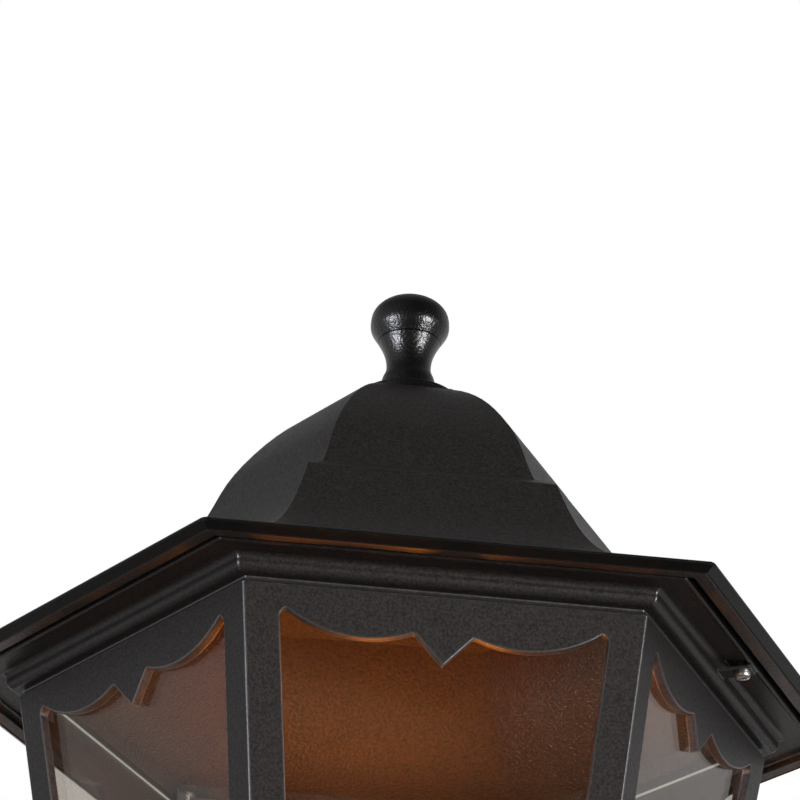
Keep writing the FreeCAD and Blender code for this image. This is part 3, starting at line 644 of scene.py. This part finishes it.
@dataclass
class Glazing:
    """The panes, their clips and their screws."""

    frame: dict[str, Any]
    paintbox: Paintbox
    panes: tuple[str, ...] = ("pane_front", "pane_right_front", "pane_right_back",
                              "pane_back", "pane_left_back", "pane_left_front")
    edge_turn: float = 0.5

    def glaze(self, name: str) -> None:
        """Give a pane clear faces and ground edges, and let the lamp's light through it.

        Args:
            name: The pane's name.
        """
        pane = self.frame["nodes"][name]
        pane.data.materials.clear()
        clear = add_slot(pane, self.paintbox.get(Finish.GLASS))
        ground = add_slot(pane, self.paintbox.get(Finish.EDGE))
        broad = max(pane.data.polygons, key=lambda face: face.area).normal.copy()
        for face in pane.data.polygons:
            face.material_index = ground if abs(face.normal.dot(broad)) < self.edge_turn else clear
        pane.visible_shadow = False
        LOG.info("%s in %s", name, Finish.GLASS.value.name)

    def dress(self) -> None:
        """Dress the panes and what holds them."""
        for name in self.panes:
            self.glaze(name)
        dress(self.frame, self.paintbox, "pane_clips", Finish.SPRING)
        dress(self.frame, self.paintbox, "clip_screws", Finish.ZINC)


@dataclass
class Fixings:
    """Screws, nuts, washers, gasket and floor plate."""

    frame: dict[str, Any]
    paintbox: Paintbox
    zinc: tuple[str, ...] = ("finial_washer", "finial_nut", "roof_screws", "base_screws",
                             "post_screws", "fitter_screws", "terminal_screw", "earth_washer",
                             "floor_plate")

    def dress(self) -> None:
        """Dress the fixings."""
        for name in self.zinc:
            dress(self.frame, self.paintbox, name, Finish.ZINC)
        dress(self.frame, self.paintbox, "roof_gasket", Finish.FOAM)


@dataclass
class LampGear:
    """Lamp, holder and wiring pieces on the floor plate."""

    frame: dict[str, Any]
    paintbox: Paintbox
    gear: tuple[tuple[str, Finish], ...] = (
        ("lamp_cap", Finish.CAP), ("lamp_holder", Finish.PORCELAIN),
        ("holder_nipple", Finish.BRASS), ("nipple_nut", Finish.BRASS),
        ("terminal_block", Finish.PALE_POLYAMIDE), ("earth_screw", Finish.BRASS),
        ("cable_gland", Finish.BLACK_POLYAMIDE), ("gland_nut", Finish.BLACK_POLYAMIDE))

    def dress(self) -> None:
        """Dress the lamp and its gear, and let the light out of the globe."""
        globe = dress(self.frame, self.paintbox, "lamp_envelope", Finish.OPAL)
        globe.visible_shadow = False
        for name, finish in self.gear:
            dress(self.frame, self.paintbox, name, finish)


def add_object(name: str, data: bpy.types.ID) -> bpy.types.Object:
    """Make an object of a mesh, light or camera and put it into the scene."""
    item = bpy.data.objects.new(name, data)
    bpy.context.scene.collection.objects.link(item)
    return item


@dataclass
class Camera:
    """The camera, low in front of the lantern and looking up at its head."""

    yaw_deg: float = 7.285
    pitch_deg: float = 27.118
    roll_deg: float = 1.989
    distance: float = 1.16381
    shift_right: float = 0.00113
    shift_up: float = 0.10428
    aim_height: float = 0.320
    lens_mm: float = 164.69
    sensor_mm: float = 36.0
    nearest: float = 0.05
    farthest: float = 20.0

    def build(self) -> None:
        """Place the camera."""
        yaw, pitch, roll = (math.radians(a) for a in (self.yaw_deg, self.pitch_deg, self.roll_deg))
        level = Vector((math.cos(yaw), -math.sin(yaw), 0.0))
        ahead = Vector((math.sin(yaw), math.cos(yaw), 0.0))
        look = math.cos(pitch) * ahead + Vector((0.0, 0.0, math.sin(pitch)))
        rise = level.cross(look)
        right = math.cos(roll) * level + math.sin(roll) * rise
        up = -math.sin(roll) * level + math.cos(roll) * rise
        place = self.shift_right * right + self.shift_up * up - self.distance * look
        place.z += self.aim_height
        data = bpy.data.cameras.new("camera")
        data.lens = self.lens_mm
        data.sensor_width = self.sensor_mm
        data.sensor_fit = "HORIZONTAL"
        data.clip_start = self.nearest
        data.clip_end = self.farthest
        camera = add_object("camera", data)
        camera.matrix_world = Matrix((
            (right.x, up.x, -look.x, place.x),
            (right.y, up.y, -look.y, place.y),
            (right.z, up.z, -look.z, place.z),
            (0.0, 0.0, 0.0, 1.0)))
        bpy.context.scene.camera = camera


@dataclass
class Room:
    """White surroundings for the eye, and a white room with a darker ceiling and front for light."""

    ambient: float = 0.21
    ceiling: float = 0.27
    ceiling_from: float = 0.15
    ceiling_to: float = 0.75
    front: float = 0.14
    front_from: float = 0.1
    front_to: float = 0.8
    front_side: tuple[float, float, float] = (0.45, -0.89, 0.0)
    first_bounce: float = 0.5

    def seen_directly(self, tree: bpy.types.NodeTree, path: bpy.types.Node) -> bpy.types.NodeSocket:
        """One for rays that come from the camera, also through glass alone, and zero for others.

        Args:
            tree: The world's node tree.
            path: Its Light Path node.

        Returns:
            The value's socket.
        """
        bounces = add_node(tree, "ShaderNodeMath",
                           {0: path.outputs["Diffuse Depth"], 1: path.outputs["Glossy Depth"]},
                           operation="ADD")
        straight = add_node(tree, "ShaderNodeMath", {0: bounces.outputs[0], 1: self.first_bounce},
                            operation="LESS_THAN")
        glazed = add_node(tree, "ShaderNodeMath",
                          {0: path.outputs["Is Transmission Ray"], 1: straight.outputs[0]},
                          operation="MULTIPLY")
        direct = add_node(tree, "ShaderNodeMath",
                          {0: path.outputs["Is Camera Ray"], 1: glazed.outputs[0]},
                          operation="MAXIMUM")
        return direct.outputs[0]

    def walls(self, tree: bpy.types.NodeTree) -> bpy.types.NodeSocket:
        """Brightness of the room by direction: one, and less above and in front.

        Args:
            tree: The world's node tree.

        Returns:
            The value's socket.
        """
        sky = add_node(tree, "ShaderNodeTexCoord").outputs["Generated"]
        height = add_node(tree, "ShaderNodeSeparateXYZ", {"Vector": sky})
        above = add_node(tree, "ShaderNodeMapRange",
                         {"Value": height.outputs["Z"], "From Min": self.ceiling_from,
                          "From Max": self.ceiling_to, "To Min": 1.0, "To Max": self.ceiling})
        ahead = add_node(tree, "ShaderNodeVectorMath", {0: sky, 1: self.front_side},
                         operation="DOT_PRODUCT")
        before = add_node(tree, "ShaderNodeMapRange",
                          {"Value": ahead.outputs["Value"], "From Min": self.front_from,
                           "From Max": self.front_to, "To Min": 1.0, "To Max": self.front})
        both = add_node(tree, "ShaderNodeMath",
                        {0: above.outputs["Result"], 1: before.outputs["Result"]},
                        operation="MULTIPLY")
        return both.outputs[0]

    def build(self) -> None:
        """Make the world."""
        world = bpy.data.worlds.new("white studio")
        bpy.context.scene.world = world
        world.use_nodes = True
        tree = world.node_tree
        tree.nodes.clear()
        path = add_node(tree, "ShaderNodeLightPath")
        lit = add_node(tree, "ShaderNodeMapRange",
                       {"Value": path.outputs["Is Glossy Ray"], "To Min": self.ambient, "To Max": 1.0})
        room = add_node(tree, "ShaderNodeMath", {0: self.walls(tree), 1: lit.outputs["Result"]},
                        operation="MULTIPLY")
        strength = add_node(tree, "ShaderNodeMapRange",
                            {"Value": self.seen_directly(tree, path), "To Min": room.outputs[0],
                             "To Max": 1.0})
        back = add_node(tree, "ShaderNodeBackground",
                        {"Color": to_linear("#ffffff"), "Strength": strength.outputs["Result"]})
        add_node(tree, "ShaderNodeOutputWorld", {"Surface": back.outputs[0]})


@dataclass(frozen=True)
class SoftBox:
    """A round soft box on a stand."""

    name: str
    place: tuple[float, float, float]
    width: float
    watts: float
    colour: str

    def build(self, aim: Vector) -> bpy.types.Object:
        """Add the light, unseen by the camera and behind glass.

        Args:
            aim: The point that it faces.

        Returns:
            The light's object.
        """
        data = bpy.data.lights.new(self.name, "AREA")
        data.shape = "DISK"
        data.size = self.width
        data.energy = self.watts
        data.color = to_linear(self.colour)[:3]
        lamp = add_object(self.name, data)
        lamp.location = self.place
        lamp.rotation_euler = (lamp.location - aim).to_track_quat("Z", "Y").to_euler()
        lamp.visible_camera = lamp.visible_transmission = False
        return lamp


@dataclass
class Lighting:
    """Soft boxes round the lantern and the warm light of its own lamp."""

    head: tuple[float, float, float] = (0.0, 0.0, 0.33)
    mirrored: tuple[SoftBox, ...] = (
        SoftBox("low right box", (1.25, -1.20, -0.1), 0.6, 66.0, "#ffffff"),
        SoftBox("low left box", (-1.54, -0.84, -0.1), 0.6, 66.0, "#f4f6ff"))
    front: SoftBox = SoftBox("front box", (0.0, -1.7, 0.1), 0.8, 26.0, "#fff4ee")
    warmth: tuple[float, float, float] = (1.0, 0.26, 0.008)
    lamp_height: float = 0.225
    glow_radius: float = 0.01
    glow_watts: float = 1.0
    upward_watts: float = 2.6
    upward_cone_deg: float = 60.0
    upward_blend: float = 1.0
    brightest: tuple[float, float, float] = (-0.006, 0.086, 0.455)

    def glow(self, name: str, kind: str, watts: float) -> bpy.types.Object:
        """Put a warm light at the middle of the lamp, unseen by the camera.

        Args:
            name: The light's name.
            kind: Its type.
            watts: Its power.

        Returns:
            The light's object.
        """
        data = bpy.data.lights.new(name, kind)
        data.energy = watts
        data.color = self.warmth
        data.shadow_soft_size = self.glow_radius
        lamp = add_object(name, data)
        lamp.location = (0.0, 0.0, self.lamp_height)
        lamp.visible_camera = lamp.visible_transmission = False
        return lamp

    def build(self) -> None:
        """Set up the soft boxes, the even glow and the glow up to the back of the roof."""
        aim = Vector(self.head)
        for box in self.mirrored:
            box.build(aim).visible_diffuse = False
        self.front.build(aim).visible_glossy = False
        self.glow("lamp glow", "POINT", self.glow_watts)
        upward = self.glow("glow up into the roof", "SPOT", self.upward_watts)
        upward.data.spot_size = math.radians(self.upward_cone_deg)
        upward.data.spot_blend = self.upward_blend
        direction = upward.location - Vector(self.brightest)
        upward.rotation_euler = direction.to_track_quat("Z", "Y").to_euler()


@dataclass
class Floor:
    """A round pale floor under the lantern, ending before the main view."""

    paintbox: Paintbox
    radius: float = 0.6
    corners: int = 96

    def build(self) -> None:
        """Make the floor."""
        bm = bmesh.new()
        bmesh.ops.create_circle(bm, cap_ends=True, segments=self.corners, radius=self.radius)
        mesh = bpy.data.meshes.new("floor")
        bm.to_mesh(mesh)
        bm.free()
        mesh.materials.append(self.paintbox.get(Finish.PAPER))
        floor = add_object("floor", mesh)


def main() -> None:
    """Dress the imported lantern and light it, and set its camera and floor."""
    logging.basicConfig(level=logging.INFO, format="%(name)s: %(message)s")
    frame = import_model()
    paintbox = Paintbox()
    Castings(frame, paintbox).dress()
    Glazing(frame, paintbox).dress()
    Fixings(frame, paintbox).dress()
    LampGear(frame, paintbox).dress()
    Camera().build()
    Room().build()
    Lighting().build()
    Floor(paintbox).build()
    bpy.context.scene.view_settings.view_transform = "Standard"


if __name__ == "__main__":
    main()
